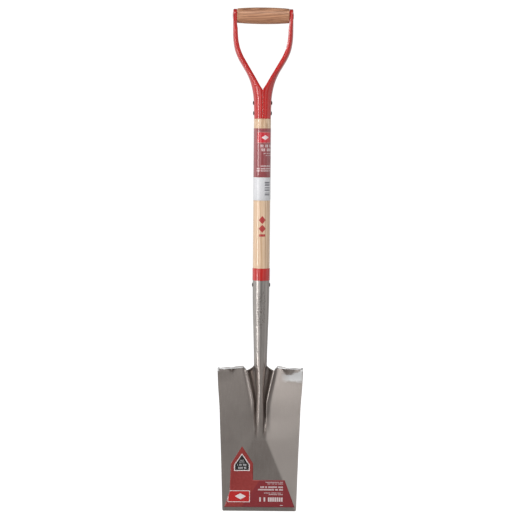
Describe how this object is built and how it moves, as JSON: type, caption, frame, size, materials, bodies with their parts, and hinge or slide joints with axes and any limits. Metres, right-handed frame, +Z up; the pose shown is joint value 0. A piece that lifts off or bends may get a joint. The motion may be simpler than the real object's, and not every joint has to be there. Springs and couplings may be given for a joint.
{
  "type": "garden spade",
  "caption": "Long garden spade: square steel blade with foot treads and open-back socket, turned wooden shaft, red steel D-handle with a barrel-shaped wooden grip.",
  "frame": {"origin": "middle of the blade's cutting edge, below the shaft's axis", "axes": "+Z up along the shaft, front (concave) face of the blade towards -Y, +X to the right seen from the front"},
  "size_m": [0.1802, 0.0522, 1.0572],
  "materials": {
    "blade_steel": "grey steel under clear lacquer, satin",
    "red_paint": "red powder coat, gloss",
    "red_rod": "red powder coat over the peened ends, gloss",
    "rivet_steel": "dark steel, dull",
    "ash_wood": "pale straight-grained ash under clear lacquer",
    "oak_wood": "brown open-grained oak under thin lacquer",
    "maroon_label": "printed paper, gloss film",
    "white_label": "printed white paper, gloss film",
    "red_sticker": "printed vinyl, satin"
  },
  "bodies": {
    "root": {"blade": "blade_steel", "shaft": "ash_wood", "socket_collar": "red_paint", "socket_rivet": "rivet_steel", "yoke_left": "red_paint", "yoke_right": "red_paint", "yoke_rivet_upper": "rivet_steel", "yoke_rivet_lower": "rivet_steel", "grip": "oak_wood", "grip_rod": "red_rod", "shaft_label": "maroon_label", "barcode_label": "white_label", "blade_sticker": "red_sticker"}
  },
  "joints": []
}
